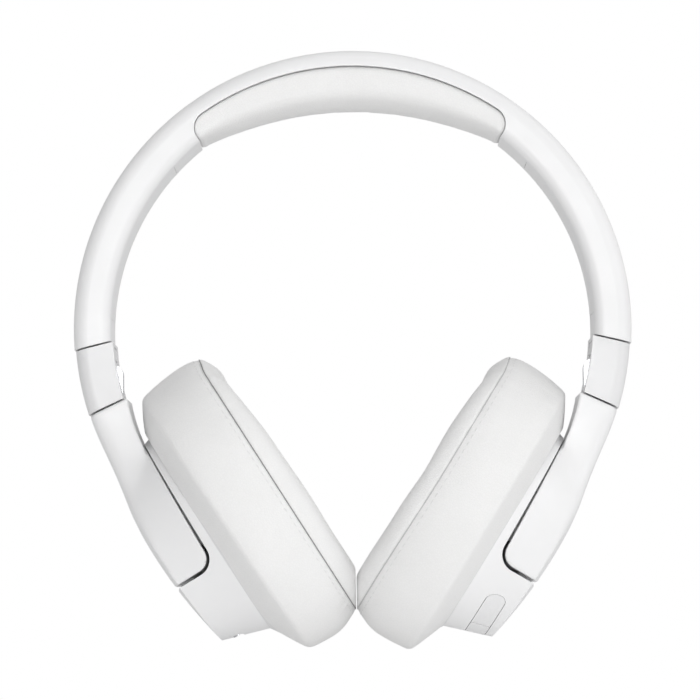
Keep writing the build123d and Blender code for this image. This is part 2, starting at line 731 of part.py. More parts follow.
# ---- electronics --------------------------------------------------------------------------------------------------
with BuildPart() as main_board:
    add(cup_box(11.6, 20.4, 34.0, 35.2, 14.0))
    add(cup_box(6, 6, 35.2, 36.6, 14.0, 3.0))
    add(cup_box(4, 5, 35.2, 36.2, 16.0, -5.0))
parts["main_board"] = main_board

with BuildPart() as battery:
    add(cup_box(11.6, 20.4, 28.6, 36.6, 14.0))
    fillet(battery.edges().filter_by(Axis(cup_plane.origin, cup_plane.z_dir)), 2.0)

# ---- the other side ---------------------------------------------------------------------------------------------------
parts["cup_housing_left"] = twin(left_blank.part)
parts["aux_jack"] = twin(aux_jack.part)
parts["usb_c_socket"] = twin(usb_c_socket.part)
parts["microphones"] = twin(microphones.part)
parts["battery"] = twin(battery.part)
for base in (
    "baffle", "driver_frame", "driver_diaphragm", "driver_magnet",
    "pad_ring", "pad_mesh", "ear_pad", "cup_screws",
):
    parts[base + "_left"] = twin(parts[base + "_right"].part)

# ---- write the pieces ----------------------------------------------------------------------------------------------------
os.makedirs("parts", exist_ok=True)
for label, piece in parts.items():
    piece.part.label = label
    export_step(piece.part, "parts/" + label + ".step")
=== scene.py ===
import json
import math

import bmesh
import bpy
import numpy as np
from mathutils import Matrix, Vector


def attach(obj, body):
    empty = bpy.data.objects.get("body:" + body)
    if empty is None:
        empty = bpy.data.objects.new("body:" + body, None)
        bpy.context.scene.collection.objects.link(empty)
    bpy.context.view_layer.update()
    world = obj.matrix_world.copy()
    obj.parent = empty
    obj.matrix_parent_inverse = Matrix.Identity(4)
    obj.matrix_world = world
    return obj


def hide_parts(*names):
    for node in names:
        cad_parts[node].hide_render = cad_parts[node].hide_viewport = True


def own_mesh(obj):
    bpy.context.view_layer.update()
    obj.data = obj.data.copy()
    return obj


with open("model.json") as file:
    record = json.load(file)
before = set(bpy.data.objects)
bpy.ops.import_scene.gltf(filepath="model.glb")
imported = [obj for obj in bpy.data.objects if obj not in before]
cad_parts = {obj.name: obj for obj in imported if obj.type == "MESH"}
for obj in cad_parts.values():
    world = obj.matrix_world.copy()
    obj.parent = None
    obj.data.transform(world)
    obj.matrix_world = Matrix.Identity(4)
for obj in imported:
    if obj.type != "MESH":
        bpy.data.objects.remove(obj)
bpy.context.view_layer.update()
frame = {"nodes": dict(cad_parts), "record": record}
NODES = frame["nodes"]
rng = np.random.default_rng(7)

# ------------------------------------------------------------------ cup coordinates (metres)
LEAN = math.radians(32.0)
UP = Vector((math.sin(LEAN), 0, math.cos(LEAN)))
OUT = Vector((math.cos(LEAN), 0, -math.sin(LEAN)))
CUP = Vector((0.0251, 0, 0.05145))
BAND_Z = 0.10115


def cup_xyz(a, b, d):
    """World points of the right cup from up, front and outward distances in millimetres."""
    a, b, d = (np.asarray(v, float) * 0.001 for v in (a, b, d))
    x = CUP.x + a * UP.x + d * OUT.x
    z = CUP.z + a * UP.z + d * OUT.z
    return np.stack([x, -b + 0 * x, z], -1)


# ------------------------------------------------------------------ mesh helpers
def mesh_object(name, verts, faces, smooth=True):
    mesh = bpy.data.meshes.new(name)
    mesh.from_pydata([tuple(v) for v in np.asarray(verts).reshape(-1, 3)], [], [tuple(f) for f in faces])
    mesh.validate()
    mesh.update()
    if smooth:
        mesh.shade_smooth()
    obj = bpy.data.objects.new(name, mesh)
    bpy.context.scene.collection.objects.link(obj)
    return obj


def fix_normals(obj):
    bm = bmesh.new()
    bm.from_mesh(obj.data)
    bmesh.ops.recalc_face_normals(bm, faces=bm.faces)
    bm.to_mesh(obj.data)
    bm.free()
    obj.data.update()


def coords(obj):
    co = np.zeros(len(obj.data.vertices) * 3)
    obj.data.vertices.foreach_get("co", co)
    return co.reshape(-1, 3)


def set_coords(obj, co):
    obj.data.vertices.foreach_set("co", np.asarray(co, np.float32).ravel())
    obj.data.update()


def mirrored(obj, name):
    """Copy of a right-hand piece for the left side."""
    mesh = obj.data.copy()
    mesh.transform(Matrix.Diagonal((-1, 1, 1, 1)))
    mesh.flip_normals()
    mesh.name = name
    twin = bpy.data.objects.new(name, mesh)
    bpy.context.scene.collection.objects.link(twin)
    return twin


def ring_faces(rows, cols, close_rows=True):
    """Quads of a grid whose columns wrap round, and whose rows may too."""
    faces = []
    last = rows if close_rows else rows - 1
    for i in range(last):
        j = (i + 1) % rows
        for k in range(cols):
            m = (k + 1) % cols
            faces.append((i * cols + k, i * cols + m, j * cols + m, j * cols + k))
    return faces


def select_only(obj):
    bpy.ops.object.select_all(action="DESELECT")
    obj.select_set(True)
    bpy.context.view_layer.objects.active = obj


def apply_modifiers(obj):
    select_only(obj)
    for m in list(obj.modifiers):
        bpy.ops.object.modifier_apply(modifier=m.name)


def puff(obj, pin, pressure, cap, frames=20, spare=0.0):
    """Cloth under air pressure; pin holds seams. The move of each point is capped."""
    rest = coords(obj)
    group = obj.vertex_groups.new(name="pin")
    for i, w in enumerate(pin):
        if w > 0:
            group.add([i], float(w), "REPLACE")
    cloth = obj.modifiers.new("Cloth", "CLOTH")
    s = cloth.settings
    s.vertex_group_mass = "pin"
    s.quality = 5
    s.mass = 0.02
    s.tension_stiffness = 12
    s.compression_stiffness = 12
    s.shear_stiffness = 6
    s.bending_stiffness = 0.05
    s.tension_damping = 4
    s.compression_damping = 4
    s.use_pressure = True
    s.uniform_pressure_force = pressure
    s.shrink_min = -spare
    s.effector_weights.gravity = 0
    cloth.collision_settings.use_collision = False
    cloth.collision_settings.use_self_collision = False
    cloth.point_cache.frame_start = 1
    cloth.point_cache.frame_end = frames
    scene = bpy.context.scene
    for f in range(1, frames + 1):
        scene.frame_set(f)
    dg = bpy.context.evaluated_depsgraph_get()
    moved = np.zeros(len(rest) * 3)
    obj.evaluated_get(dg).data.vertices.foreach_get("co", moved)
    move = moved.reshape(-1, 3) - rest
    size = np.linalg.norm(move, axis=1, keepdims=True)
    move = np.where(size > cap, move / np.maximum(size, 1e-12) * cap, move)
    move = np.nan_to_num(move)
    obj.modifiers.remove(cloth)
    obj.vertex_groups.remove(group)
    scene.frame_set(1)
    set_coords(obj, rest + move)


# ------------------------------------------------------------------ materials
def new_material(name):
    mat = bpy.data.materials.new(name)
    mat.use_nodes = True
    tree = mat.node_tree
    return mat, tree, tree.nodes["Principled BSDF"]


def add_node(tree, kind, **values):
    node = tree.nodes.new(kind)
    for key, value in values.items():
        if key in node.inputs:
            node.inputs[key].default_value = value
        else:
            setattr(node, key, value)
    return node


def noise_node(tree, vector, scale, detail=4.0, rough=0.55):
    node = add_node(tree, "ShaderNodeTexNoise", Scale=scale, Detail=detail, Roughness=rough)
    tree.links.new(vector, node.inputs["Vector"])
    return node


def map_range(tree, value, from_low, from_high, low=0.0, high=1.0):
    node = add_node(tree, "ShaderNodeMapRange")
    node.inputs["From Min"].default_value = from_low
    node.inputs["From Max"].default_value = from_high
    node.inputs["To Min"].default_value = low
    node.inputs["To Max"].default_value = high
    tree.links.new(value, node.inputs["Value"])
    return node.outputs["Result"]


def spread(tree, value, low, high):
    """Maps the usual span of a noise texture to a range."""
    return map_range(tree, value, 0.3, 0.7, low, high)


def multiply_add(tree, value, factor, added):
    node = add_node(tree, "ShaderNodeMath")
    node.operation = "MULTIPLY_ADD"
    tree.links.new(value, node.inputs[0])
    node.inputs[1].default_value = factor
    if isinstance(added, float):
        node.inputs[2].default_value = added
    else:
        tree.links.new(added, node.inputs[2])
    return node.outputs[0]


def add_bump(tree, bsdf, height, strength, depth):
    bump = add_node(tree, "ShaderNodeBump", Strength=strength, Distance=depth)
    tree.links.new(height, bump.inputs["Height"])
    tree.links.new(bump.outputs["Normal"], bsdf.inputs["Normal"])


# sockets of a colour mix node
MIX_FACTOR, MIX_A, MIX_B, MIX_RESULT = 0, 6, 7, 2


def tinted(tree, fac, first, second):
    """Colour between two, by a texture value."""
    node = add_node(tree, "ShaderNodeMix", data_type="RGBA")
    node.inputs[MIX_A].default_value = (*first, 1)
    node.inputs[MIX_B].default_value = (*second, 1)
    tree.links.new(fac, node.inputs[MIX_FACTOR])
    return node.outputs[MIX_RESULT]


def worn_edges(tree, color, dark):
    """Slightly greyed colour along convex edges, where hands rub."""
    geometry = add_node(tree, "ShaderNodeNewGeometry")
    edge = map_range(tree, geometry.outputs["Pointiness"], 0.56, 0.70, 0.0, 0.35)
    mix = add_node(tree, "ShaderNodeMix", data_type="RGBA")
    tree.links.new(edge, mix.inputs[MIX_FACTOR])
    tree.links.new(color, mix.inputs[MIX_A])
    mix.inputs[MIX_B].default_value = (*dark, 1)
    return mix.outputs[MIX_RESULT]


def plastic(name, color, rough, grain=2600.0, grain_depth=0.000012, coat=0.0, wear=0.93):
    mat, tree, bsdf = new_material(name)
    where = add_node(tree, "ShaderNodeTexCoord").outputs["Object"]
    broad = noise_node(tree, where, 55.0, 3.0)
    fine = noise_node(tree, where, grain, 6.0)
    second = tuple(c * 0.972 for c in color)
    tone = tinted(tree, spread(tree, broad.outputs["Fac"], 0.0, 1.0), color, second)
    tone = worn_edges(tree, tone, tuple(c * wear for c in color))
    tree.links.new(tone, bsdf.inputs["Base Color"])
    smudge = noise_node(tree, where, 140.0, 5.0)
    tree.links.new(spread(tree, smudge.outputs["Fac"], rough * 0.86, rough * 1.16), bsdf.inputs["Roughness"])
    add_bump(tree, bsdf, fine.outputs["Fac"], 0.5, grain_depth)
    bsdf.inputs["Specular IOR Level"].default_value = 0.42
    bsdf.inputs["Coat Weight"].default_value = coat
    bsdf.inputs["Coat Roughness"].default_value = 0.08
    return mat


def leatherette(name, color, rough=0.52, scale=1250.0, depth=0.00007):
    mat, tree, bsdf = new_material(name)
    where = add_node(tree, "ShaderNodeTexCoord").outputs["Object"]
    cells = add_node(tree, "ShaderNodeTexVoronoi", Scale=scale, Randomness=1.0)
    cells.feature = "DISTANCE_TO_EDGE"
    warp = noise_node(tree, where, 500.0, 3.0)
    shift = add_node(tree, "ShaderNodeVectorMath")
    shift.operation = "MULTIPLY_ADD"
    tree.links.new(warp.outputs["Color"], shift.inputs[0])
    shift.inputs[1].default_value = (0.0009, 0.0009, 0.0009)
    tree.links.new(where, shift.inputs[2])
    tree.links.new(shift.outputs[0], cells.inputs["Vector"])
    groove = map_range(tree, cells.outputs["Distance"], 0.0, 0.16)
    folds = noise_node(tree, where, 190.0, 5.0, 0.6)
    pores = noise_node(tree, where, 4200.0, 3.0)
    height = multiply_add(tree, folds.outputs["Fac"], 1.6, groove)
    height = multiply_add(tree, pores.outputs["Fac"], 0.35, height)
    add_bump(tree, bsdf, height, 0.55, depth)
    broad = noise_node(tree, where, 70.0, 4.0)
    tone = tinted(tree, spread(tree, broad.outputs["Fac"], 0, 1), color, tuple(c * 0.965 for c in color))
    crease = tinted(tree, groove, tuple(c * 0.93 for c in color), color)
    both = add_node(tree, "ShaderNodeMix", data_type="RGBA")
    both.inputs[MIX_FACTOR].default_value = 0.4
    tree.links.new(tone, both.inputs[MIX_A])
    tree.links.new(crease, both.inputs[MIX_B])
    tree.links.new(both.outputs[MIX_RESULT], bsdf.inputs["Base Color"])
    tree.links.new(spread(tree, folds.outputs["Fac"], rough * 0.85, rough * 1.15), bsdf.inputs["Roughness"])
    bsdf.inputs["Specular IOR Level"].default_value = 0.36
    bsdf.inputs["Sheen Weight"].default_value = 0.12
    bsdf.inputs["Sheen Roughness"].default_value = 0.4
    return mat


def brushed_metal(name, color, rough=0.3, direction=(40.0, 4000.0, 40.0)):
    mat, tree, bsdf = new_material(name)
    where = add_node(tree, "ShaderNodeTexCoord").outputs["Object"]
    mapping = add_node(tree, "ShaderNodeMapping")
    mapping.inputs["Scale"].default_value = direction
    tree.links.new(where, mapping.inputs["Vector"])
    lines = add_node(tree, "ShaderNodeTexNoise", Scale=1.0, Detail=6.0)
    tree.links.new(mapping.outputs["Vector"], lines.inputs["Vector"])
    tone = tinted(tree, spread(tree, lines.outputs["Fac"], 0, 1), color, tuple(c * 0.8 for c in color))
    tree.links.new(tone, bsdf.inputs["Base Color"])
    tree.links.new(spread(tree, lines.outputs["Fac"], rough * 0.8, rough * 1.3), bsdf.inputs["Roughness"])
    add_bump(tree, bsdf, lines.outputs["Fac"], 0.4, 0.00001)
    bsdf.inputs["Metallic"].default_value = 1.0
    return mat


def knit(name, color, pitch=0.0009, depth=0.00012):
    mat, tree, bsdf = new_material(name)
    where = add_node(tree, "ShaderNodeTexCoord").outputs["Object"]
    waves = []
    for angle in (35.0, -35.0):
        turn = add_node(tree, "ShaderNodeMapping")
        turn.inputs["Rotation"].default_value = (math.radians(angle), 0, 0)
        tree.links.new(where, turn.inputs["Vector"])
        wave = add_node(tree, "ShaderNodeTexWave", Scale=1.0 / pitch / 6.2832 * 2, Distortion=0.6)
        wave.bands_direction = "Y"
        tree.links.new(turn.outputs["Vector"], wave.inputs["Vector"])
        waves.append(wave)
    top = add_node(tree, "ShaderNodeMath")
    top.operation = "MAXIMUM"
    tree.links.new(waves[0].outputs["Fac"], top.inputs[0])
    tree.links.new(waves[1].outputs["Fac"], top.inputs[1])
    fuzz = noise_node(tree, where, 2500.0, 4.0)
    add_bump(tree, bsdf, multiply_add(tree, fuzz.outputs["Fac"], 0.5, top.outputs[0]), 0.8, depth)
    tone = tinted(tree, top.outputs[0], tuple(c * 0.55 for c in color), color)
    tree.links.new(tone, bsdf.inputs["Base Color"])
    bsdf.inputs["Roughness"].default_value = 0.85
    bsdf.inputs["Sheen Weight"].default_value = 0.3
    return mat


WHITE = (0.86, 0.86, 0.864)
M = {
    "white_shell": plastic("satin_white", WHITE, 0.36),
    "gloss_white": plastic("gloss_white", (0.78, 0.78, 0.785), 0.35, 1800.0, 0.000004, coat=0.0),
    "white_leather": leatherette("white_leatherette", (0.87, 0.868, 0.865)),
    "brushed_steel": brushed_metal("brushed_steel", (0.62, 0.63, 0.65)),
    "spring_steel": brushed_metal("spring_steel", (0.42, 0.43, 0.46), 0.35),
    "cable_rubber": plastic("cable_rubber", (0.05, 0.05, 0.05), 0.6, 3000.0, 0.00002),
    "white_plastic_inner": plastic("inner_white", (0.8, 0.8, 0.805), 0.5, 1900.0, 0.00003),
    "black_plastic": plastic("black_plastic", (0.03, 0.03, 0.033), 0.45, 2400.0, 0.00002, wear=1.6),
    "diaphragm_film": plastic("diaphragm_film", (0.1, 0.1, 0.11), 0.25, 900.0, 0.00003),
    "magnet_iron": brushed_metal("plated_iron", (0.35, 0.35, 0.37), 0.4, (900, 900, 900)),
    "pad_cloth": knit("pad_cloth", (0.66, 0.66, 0.67)),
    "board": plastic("solder_mask", (0.03, 0.16, 0.07), 0.3, 3200.0, 0.00002),
    "battery_wrap": plastic("foil_wrap", (0.4, 0.41, 0.44), 0.32, 700.0, 0.00005),
    "light_lens": plastic("light_lens", (0.78, 0.8, 0.82), 0.12, 2000.0, 0.000004, coat=0.4),
    "key_white": plastic("key_white", (0.82, 0.82, 0.825), 0.42, 2600.0, 0.000015),
}
# seam cord colours: the dark one is painted shade of the seam's crevice on the left pad, the pale one is
# painted light on the lit right pad
seam_painted_shade = leatherette("seam_painted_shade", (0.30, 0.30, 0.30), 0.7, 5000.0, 0.00003)
seam_painted_light = leatherette("seam_painted_light", (0.58, 0.58, 0.58), 0.7, 5000.0, 0.00003)
thread = leatherette("white_thread", (0.8, 0.8, 0.8), 0.6, 4000.0, 0.00005)

for sub in frame["record"]["subparts"]:
    obj = NODES[sub["node"]]
    mat = M[sub["material_slot"]]
    obj.data.materials.clear()
    obj.data.materials.append(mat)


# ------------------------------------------------------------------ ear pads
EAR = (29.0, 20.0, 0.0)
SEAM = (47.1, 38.2, 0.4)
# (share from the ear opening at 0 to the seam at 1, distance outward from the seam plane, pin)
PAD_PROFILE = [
    (1.000, 0.60, 0.8), (0.986, 0.22, 1.0), (0.986, -0.22, 1.0), (0.996, -0.70, 0.7), (0.965, -2.00, 0.2),
    (0.915, -3.45, 0), (0.84, -4.90, 0), (0.74, -5.85, 0), (0.63, -6.25, 0), (0.52, -6.25, 0),
    (0.42, -5.90, 0), (0.32, -5.10, 0), (0.22, -3.80, 0), (0.13, -2.05, 0.1), (0.06, 0.10, 0.2),
    (0.02, 2.40, 0.4), (0.0, 5.5, 0.6), (0.0, 9.0, 0.8), (0.0, 13.0, 1), (0.0, 17.0, 1),
    (0.02, 21.0, 1), (0.06, 22.00, 1), (0.12, 23.35, 1), (0.35, 23.38, 1), (0.60, 23.38, 1),
    (0.690, 23.42, 1), (0.58, 24.58, 1), (0.43, 26.22, 1), (0.42, 26.38, 1), (0.432, 26.38, 1),
    (0.60, 24.62, 1), (0.72, 23.35, 1), (0.835, 22.05, 0.9), (0.90, 21.30, 0.8), (0.96, 20.55, 0.7),
    (1.015, 19.80, 0.6), (1.055, 19.05, 0.5), (1.080, 18.1, 0.4), (1.091, 16.6, 0.3), (1.090, 14.4, 0.1),
    (1.086, 11.8, 0), (1.078, 9.2, 0), (1.066, 6.8, 0), (1.051, 4.6, 0.1), (1.034, 2.7, 0.2),
    (1.016, 1.3, 0.4),
]
OUTER_ROWS = 28  # rows of the profile from here on are the outer side of the pad
THETA = 200  # points round a pad
OVAL = 2.12  # power of the oval; 2 is an ellipse
PAD_BACK = 26.4  # distance outward at which a pad meets its cup
BACK_LIFT = 2.3  # how much further out the back edge lies at the top
PAD_GAP = 0.00016  # half the space kept between the two pads, metres


def ramp(v, low, high):
    t = np.clip((np.asarray(v, float) - low) / (high - low), 0, 1)
    return t * t * (3 - 2 * t)


# how each cushion has settled: shift of its rear edge at the bottom, of its face at the top, roll of its face
SETTLED = {"right": (2.0, 1.1, 0.92), "left": (0.0, 0.0, 1.12)}


def pad_point(share, d, theta, side, outer=True):
    """Up, front and outward distances of pad points at a share between the ear opening and the seam."""
    rear_low, face_back, roll = SETTLED[side]
    theta = np.asarray(theta, float)
    c, s = np.cos(theta), np.sin(theta)
    # u runs from -1 at the bottom of the oval to 1 at its top, v from back to front
    u = np.sign(c) * np.abs(c) ** (2 / OVAL)
    v = np.sign(s) * np.abs(s) ** (2 / OVAL)
    # the wall swells at the bottom, where the cup's weight rests
    bulge = 0.085 * math.exp(-((d - 7.6) / 6.4) ** 2) * ramp(-u, 0.35, 1.0) * (share > 0.9)
    share = share + bulge
    a_half = EAR[0] + (SEAM[0] - EAR[0]) * share
    b_half = EAR[1] + (SEAM[1] - EAR[1]) * share
    mid = EAR[2] + (SEAM[2] - EAR[2]) * np.minimum(share, 1.0)
    # behind the seam the wall sinks a little
    if d > 3:
        mid = mid - min((d - 3) / 16.0, 1.0) * 1.5 * np.clip((share - 0.5) / 0.5, 0, 1)
    out = np.full(len(theta), float(d))
    # the face rolls, flattens towards the top and is pinched at the seam there
    if d < 6:
        face = 1 - ramp(d, -0.4, 0.6)
        low = out * (1 - 0.40 * np.clip((u - 0.35) / 0.65, 0, 1) ** 1.6)
        low = low * (roll + (0.95 - roll) * ramp(u, -0.2, 0.8))
        low = low * (1 - 0.5 * ramp(u, 0.82, 1.0) * ramp(share, 0.60, 0.98))
        out = out * (1 - face) + low * face
        out = out - 0.9 * ramp(u, 0.86, 1.0) * (1 - ramp(d, 0, 6))
    # the upper face has settled back into the pad
    out = out + face_back * ramp(u, -0.9, 0.1) * (1 - ramp(d, 9, 22)) * ramp(share, 0.0, 0.5)
    # the outer wall reaches further back, and comes to nothing where the pad meets the cup
    if outer and share.min() > 0.43 and d > 6:
        back = (rear_low + (BACK_LIFT - rear_low) * (u + 1) / 2) * ramp(d, 6, 18)
        if d > 19:
            back = back * (PAD_BACK - d) / (PAD_BACK - 19)
        out = out + back
        mid = mid - 0.7 * ramp(d, 6, 17) * ramp(u, 0, 1) * (1 - ramp(d, 19, 26))
    return mid + a_half * u, b_half * v, out


def side_xyz(side, a, b, d):
    """World points of a cup on either side."""
    pts = cup_xyz(a, b, d)
    if side == "left":
        pts = pts * np.array([-1.0, 1.0, 1.0])
    return pts


def keep_apart(obj, side):
    """Flatten a pad where it would touch the other one, leaving a hair between them."""
    co = coords(obj)
    co[:, 0] = np.maximum(co[:, 0], PAD_GAP) if side == "right" else np.minimum(co[:, 0], -PAD_GAP)
    set_coords(obj, co)


def build_pad(side):
    """Ear cushion: the profile carried round the oval, then swelled under air pressure."""
    theta = np.linspace(0, 2 * math.pi, THETA, endpoint=False)
    rows = []
    pins = []
    for i, (share, d, pin) in enumerate(PAD_PROFILE):
        rows.append(side_xyz(side, *pad_point(share, d, theta, side, i >= OUTER_ROWS)))
        pins += [pin] * THETA
    verts = np.concatenate(rows)
    obj = mesh_object("ear_cushion_" + side, verts, ring_faces(len(PAD_PROFILE), THETA))
    fix_normals(obj)
    puff(obj, pins, pressure=5.0, cap=0.0007, frames=20, spare=0.006)
    keep_apart(obj, side)
    return obj


def wrinkle(obj, amount):
    """Small folds of leatherette running out from the seam."""
    co = coords(obj)
    rel = np.abs(co * np.array([1, 0, 1])) + co * np.array([0, 1, 0]) - np.array([CUP.x, 0, CUP.z])
    a = rel @ np.array([UP.x, 0, UP.z]) * 1000
    b = -rel[:, 1] * 1000
    d = rel @ np.array([OUT.x, 0, OUT.z]) * 1000
    theta = np.arctan2(b / SEAM[1], (a - SEAM[2]) / SEAM[0])
    size = np.hypot(b / SEAM[1], (a - SEAM[2]) / SEAM[0])
    wave = np.zeros(len(co))
    for k in range(26):
        n = rng.integers(18, 95)
        wave += np.cos(theta * n + rng.uniform(0, 6.28)) / 26 ** 0.5
    near = np.exp(-((d - 0.2) / 3.2) ** 2) * (np.abs(size - 1) < 0.25)
    near *= np.clip((size - 0.72) / 0.2, 0, 1)
    seam_hold = 1 - np.exp(-((d - 0.05) / 0.5) ** 2) * (np.abs(size - 1) < 0.08)
    normal = np.zeros(len(co) * 3)
    obj.data.vertices.foreach_get("normal", normal)
    normal = normal.reshape(-1, 3)
    broad = np.sin(theta * 7 + 1.3) * 0.35 + np.sin(theta * 11 + 0.2) * 0.25
    away = np.clip(np.abs(d - 0.1) / 4, 0, 1) * (d < 18)
    move = (wave * near * seam_hold * amount + broad * away * 0.00016)[:, None] * normal
    set_coords(obj, co + move)


PADS = {}
for side in ("right", "left"):
    cushion = build_pad(side)
    wrinkle(cushion, 0.00016)
    sub = cushion.modifiers.new("Subdivision", "SUBSURF")
    sub.levels = 1
    sub.render_levels = 1
    apply_modifiers(cushion)
    keep_apart(cushion, side)
    cushion.data.materials.append(M["white_leather"])
    PADS[side] = cushion


def capsule_verts(centre, along, out, side, length, radius):
    """Small stitch: rounded bar lying along a seam."""
    verts = []
    rings = [(-0.5, 0.25), (-0.42, 0.75), (-0.2, 1.0), (0.2, 1.0), (0.42, 0.75), (0.5, 0.25)]
    for t, r in rings:
        for k in range(6):
            ang = k / 6 * 2 * math.pi
            arch = (1 - (2 * t) ** 2) * radius * 0.5
            rise = math.cos(ang) * r * radius + arch
            verts.append(centre + along * (t * length) + out * rise + side * (math.sin(ang) * r * radius))
    return verts


def stitch_faces(base):
    faces = []
    for i in range(5):
        for k in range(6):
            m = (k + 1) % 6
            faces.append((base + i * 6 + k, base + i * 6 + m, base + (i + 1) * 6 + m, base + (i + 1) * 6 + k))
    faces.append(tuple(base + k for k in range(5, -1, -1)))
    faces.append(tuple(base + 30 + k for k in range(6)))
    return faces


def seam_stitches(side, share, d, pitch, length, radius, lift):
    """Row of stitches beside the seam of a pad, following the padded surface."""
    pad = PADS[side]
    dense = np.linspace(0, 2 * math.pi, 1600, endpoint=False)
    pts = side_xyz(side, *pad_point(share, d, dense, side))
    step = np.linalg.norm(np.roll(pts, -1, 0) - pts, axis=1)
    total = step.sum()
    count = int(total / pitch)
    run = np.concatenate([[0], np.cumsum(step)])[:-1]
    verts, faces = [], []
    for i in range(count):
        k = int(np.searchsorted(run, total * i / count)) % 1600
        along = Vector(pts[(k + 3) % 1600] - pts[(k - 3) % 1600]).normalized()
        hit, where, normal, _ = pad.closest_point_on_mesh(Vector(pts[k]))
        across = normal.cross(along).normalized()
        verts += capsule_verts(where + normal * lift, along, normal, across, length, radius)
        faces += stitch_faces(len(verts) - 36)
    obj = mesh_object("ear_cushion_stitches_" + side, [tuple(v) for v in verts], faces)
    fix_normals(obj)
    obj.data.materials.append(thread)
    return obj


def seam_cord(side, share, d, radius, mat):
    """Continuous sewn line sunk in the seam. Its colour is painted shade of the seam's crevice: dark on the
    left pad, pale on the lit right pad.
    """
    n = 420
    theta = np.linspace(0, 2 * math.pi, n, endpoint=False)
    line = side_xyz(side, *pad_point(share, d, theta, side))
    centre = line.mean(0)
    verts = []
    for k in range(n):
        along = Vector(line[(k + 1) % n] - line[k - 1]).normalized()
        out = (Vector(line[k]) - Vector(centre)).normalized()
        across = along.cross(out).normalized()
        out = across.cross(along)
        for q in range(8):
            ang = q / 8 * 2 * math.pi
            verts.append(Vector(line[k]) + out * (math.cos(ang) * radius) + across * (math.sin(ang) * radius))
    obj = mesh_object("ear_cushion_seam_" + side, [tuple(v) for v in verts], ring_faces(n, 8))
    fix_normals(obj)
    keep_apart(obj, side)
    obj.data.materials.append(mat)
    return obj


STITCHES = {side: seam_stitches(side, 1.022, 1.75, 0.0027, 0.0016, 0.00011, 0.00002) for side in PADS}
# the real seam is the same on both pads; the left cord's darker colour is painted shade and the right cord's
# paler colour is painted light
CORDS = {
    "right": seam_cord("right", 0.9925, 0.0, 0.00020, seam_painted_light),
    "left": seam_cord("left", 0.9940, 0.0, 0.00017, seam_painted_shade),
}


def build_screen():
    """Cloth screen over the driver: thin, slightly domed, pulled tight at its rim."""
    rings, n = 22, 96
    theta = np.linspace(0, 2 * math.pi, n, endpoint=False)
    verts = []
    faces = []
    for layer, base in ((0, 21.3), (1, 21.9)):
        for i in range(1, rings + 1):
            r = i / rings
            a, b = 28.6 * r * np.cos(theta), 19.6 * r * np.sin(theta)
            dome = 2.4 * (1 - r ** 2) ** 1.2 + 0.12 * math.sin(r * 9) * (1 - r)
            rim = 0.35 * max(0.0, (r - 0.92) / 0.08)
            verts += list(cup_xyz(a, b, np.full(n, base - dome - rim * (1 - layer))))
        verts.append(cup_xyz(0, 0, base - 2.4).reshape(3))
    size = rings * n + 1
    for layer in (0, 1):
        o = layer * size
        for i in range(rings - 1):
            for k in range(n):
                m = (k + 1) % n
                quad = (o + i * n + k, o + i * n + m, o + (i + 1) * n + m, o + (i + 1) * n + k)
                faces.append(quad if layer == 0 else quad[::-1])
        for k in range(n):
            m = (k + 1) % n
            tri = (o + size - 1, o + m, o + k)
            faces.append(tri if layer == 0 else tri[::-1])
    for k in range(n):
        m = (k + 1) % n
        o = (rings - 1) * n
        faces.append((o + k, o + m, size + o + m, size + o + k))
    obj = mesh_object("ear_screen_right", verts, faces)
    fix_normals(obj)
    obj.data.materials.append(M["pad_cloth"])
    return obj


screen_r = build_screen()
screen_l = mirrored(screen_r, "ear_screen_left")
for side, screen in (("right", screen_r), ("left", screen_l)):
    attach(screen, "cup_" + side)
    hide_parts("pad_mesh_" + side)
    for piece in (PADS[side], STITCHES[side], CORDS[side]):
        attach(piece, "cup_" + side)
    for piece in (PADS[side], STITCHES[side], CORDS[side], screen):
        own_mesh(piece)
    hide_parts("ear_pad_" + side, "pad_ring_" + side)


